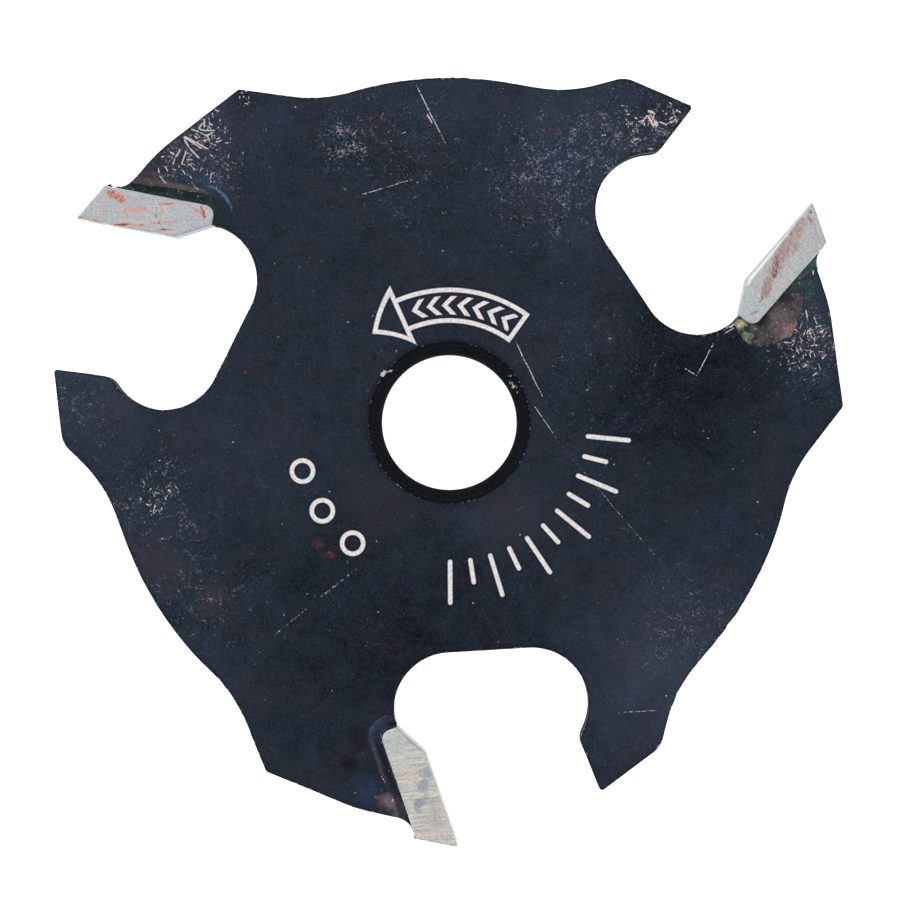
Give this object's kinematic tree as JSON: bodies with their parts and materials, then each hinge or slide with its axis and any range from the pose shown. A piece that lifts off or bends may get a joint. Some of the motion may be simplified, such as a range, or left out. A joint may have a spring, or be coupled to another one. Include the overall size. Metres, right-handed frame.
{
  "type": "slot cutter",
  "caption": "Flat winged slot-cutting disc with a chamfered centre bore, open chip gullets and hard-metal tips brazed to its wings, for cutting grooves in wood.",
  "frame": {"origin": "on the bore axis, at the body's mid-thickness", "axes": "+Z along the bore axis, towards the face seen with the cutter turning anticlockwise; the first cutting corner stands at 30 degrees from +X towards +Y"},
  "size_m": [0.0464, 0.0453, 0.0048],
  "materials": {
    "blackened_steel": "satin",
    "carbide": "satin",
    "braze_alloy": "satin"
  },
  "bodies": {
    "root": {"cutter_body": "blackened_steel", "carbide_tip_1": "carbide", "carbide_tip_2": "carbide", "carbide_tip_3": "carbide", "braze_joint_1": "braze_alloy", "braze_joint_2": "braze_alloy", "braze_joint_3": "braze_alloy"}
  },
  "joints": []
}
